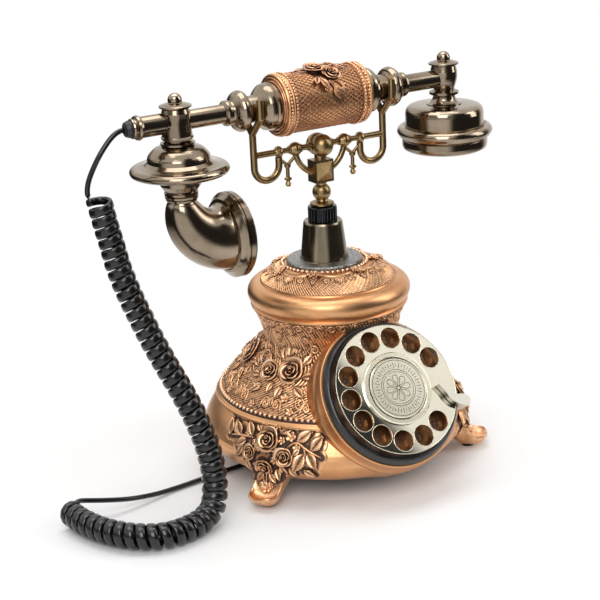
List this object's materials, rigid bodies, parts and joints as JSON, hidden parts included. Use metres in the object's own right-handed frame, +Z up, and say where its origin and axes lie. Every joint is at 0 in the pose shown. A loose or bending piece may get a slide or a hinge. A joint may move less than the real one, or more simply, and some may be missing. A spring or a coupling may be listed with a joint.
{
  "type": "rotary telephone",
  "caption": "Antique style rotary telephone: ornate copper body on scrolled feet, tilted dial, turned stem with a forked cradle, handset with horn mouthpiece and curly cord.",
  "frame": {"origin": "middle of the telephone's box on the table, cord left out", "axes": "+X along the handset towards the earpiece, -Y towards the user and the dial, +Z up"},
  "size_m": [0.2966, 0.184, 0.2343],
  "materials": {
    "cast_copper": "satin antique copper with a dark wash",
    "sleeve_copper": "satin antique copper",
    "antique_nickel": "polished antique nickel",
    "antique_brass": "polished antique brass",
    "black_nickel": "black nickel",
    "pewter": "speckled pewter",
    "champagne": "mirror polished pale gold",
    "dark_bronze": "dark bronze lacquer",
    "ring_black": "glossy black",
    "stop_chrome": "polished",
    "works_steel": "plain",
    "works_brass": "plain",
    "coil_wire": "enamelled wire",
    "board_green": "solder mask",
    "black_plastic": "moulded",
    "pad_rubber": "soft rubber",
    "cord_black": "glossy moulded cord"
  },
  "bodies": {
    "base": {"body_shell": "cast_copper", "foot_front_left": "cast_copper", "foot_front_right": "cast_copper", "foot_rear": "cast_copper", "foot_pads": "pad_rubber", "base_plate": "black_plastic", "base_screws": "works_steel", "circuit_board": "board_green", "loudspeaker": "black_plastic", "ringer_coil": "coil_wire", "gong_left": "works_steel", "gong_right": "works_steel", "hook_switch": "black_plastic", "guide_bush": "works_steel", "line_jack": "black_plastic", "lead_gland": "black_plastic", "stem_flange": "pewter", "stem_cup": "antique_nickel", "knurled_ring": "black_nickel", "dial_housing": "ring_black", "number_plate": "dark_bronze", "dial_frame": "works_steel", "finger_stop": "stop_chrome", "handset_lead": "cord_black", "cord_coil": "cord_black", "base_lead": "cord_black"},
    "cradle": {"plunger_rod": "works_steel", "cradle_post": "antique_brass", "cradle_block": "antique_brass", "cradle_bar": "antique_brass", "fork_left": "antique_brass", "fork_right": "antique_brass", "pendant_left": "antique_brass", "pendant_right": "antique_brass"},
    "handset": {"handle_sleeve": "sleeve_copper", "handle_tube": "works_steel", "collar_left": "antique_nickel", "collar_right": "antique_nickel", "mouth_arm": "antique_nickel", "ear_arm": "antique_nickel", "cord_cap": "black_plastic", "arm_finials": "antique_nickel", "mouth_barrel": "antique_nickel", "mouth_disc": "antique_nickel", "mouth_elbow": "antique_nickel", "mouth_ring": "antique_nickel", "mouth_grille": "black_plastic", "microphone": "works_steel", "ear_barrel": "antique_nickel", "ear_body": "antique_nickel", "ear_rim": "antique_nickel", "ear_cap": "antique_nickel", "receiver": "black_plastic"},
    "lever": {"hook_lever": "works_steel"},
    "clapper": {"clapper": "works_brass"},
    "dial": {"finger_wheel": "champagne", "wheel_hub": "champagne", "main_gear": "works_brass"},
    "button": {"hands_free_button": "champagne"},
    "governor": {"governor_pinion": "works_brass"}
  },
  "joints": [
    {"name": "handset_lift", "type": "slide", "parent": "base", "child": "handset", "axis": [0, 0, 1], "range_m": [0, 0.08]},
    {"name": "cradle_rise", "type": "slide", "parent": "base", "child": "cradle", "axis": [0, 0, 1], "range_m": [0, 0.004]},
    {"name": "lever_swing", "type": "hinge", "parent": "base", "child": "lever", "pos_m": [0.01085, 0.00291, 0.086], "axis": [0, 1, 0], "range_deg": [0, 16]},
    {"name": "dial_spin", "type": "hinge", "parent": "base", "child": "dial", "pos_m": [0.00235, -0.07039, 0.0627], "axis": [0, 0.8202, -0.5721], "range_deg": [0, 314], "stiffness_Nm_per_rad": 0.02, "springref_deg": -34.38},
    {"name": "governor_spin", "type": "hinge", "parent": "base", "child": "governor", "pos_m": [0.00235, -0.05544, 0.08412], "axis": [0, 0.8202, -0.5721], "range_deg": [-1047, 0]},
    {"name": "button_press", "type": "slide", "parent": "base", "child": "button", "axis": [0, 0.8202, -0.5721], "range_m": [0, 0.0015], "stiffness_N_per_m": 400},
    {"name": "clapper_swing", "type": "hinge", "parent": "base", "child": "clapper", "pos_m": [0.00235, 0.03791, 0.04], "axis": [0, 0, 1], "range_deg": [-5, 5], "stiffness_Nm_per_rad": 0.002}
  ],
  "couplings": [
    {"joint": "cradle_rise", "follows": "handset_lift", "ratio": 0.05},
    {"joint": "lever_swing", "follows": "handset_lift", "rad_per_m": 3.49},
    {"joint": "governor_spin", "follows": "dial_spin", "ratio": -3.3333}
  ]
}
